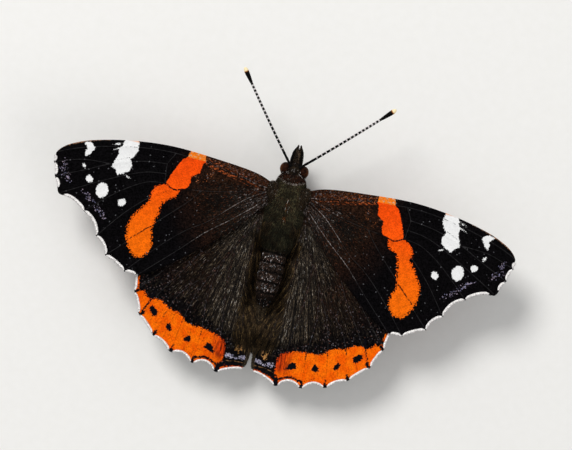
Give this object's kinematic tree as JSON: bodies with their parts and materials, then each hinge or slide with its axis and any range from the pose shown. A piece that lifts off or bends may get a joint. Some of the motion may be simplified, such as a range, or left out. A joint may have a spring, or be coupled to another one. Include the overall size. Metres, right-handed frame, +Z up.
{
  "type": "red admiral butterfly",
  "caption": "Life-size red admiral butterfly, a still model with wings spread flat, standing on its walking legs.",
  "frame": {"origin": "on the floor, under the middle of the outline seen from above", "axes": "+Y towards the head, +X towards the animal's right, +Z up"},
  "size_m": [0.066, 0.0423, 0.0108],
  "materials": {
    "body_coat": "matte",
    "abdomen_coat": "matte",
    "eye": "gloss",
    "dark_cuticle": "satin",
    "forewing_scales": "matte",
    "hindwing_scales": "matte",
    "leg_cuticle": "satin"
  },
  "bodies": {
    "root": {"abdomen": "abdomen_coat", "antenna_left": "dark_cuticle", "antenna_right": "dark_cuticle", "eye_left": "eye", "eye_right": "eye", "foreleg_left": "leg_cuticle", "foreleg_right": "leg_cuticle", "forewing_left": "forewing_scales", "forewing_right": "forewing_scales", "head": "body_coat", "hindleg_left": "leg_cuticle", "hindleg_right": "leg_cuticle", "hindwing_left": "hindwing_scales", "hindwing_right": "hindwing_scales", "midleg_left": "leg_cuticle", "midleg_right": "leg_cuticle", "palp_left": "body_coat", "palp_right": "body_coat", "proboscis": "dark_cuticle", "prothorax": "body_coat", "thorax": "body_coat"}
  },
  "joints": []
}
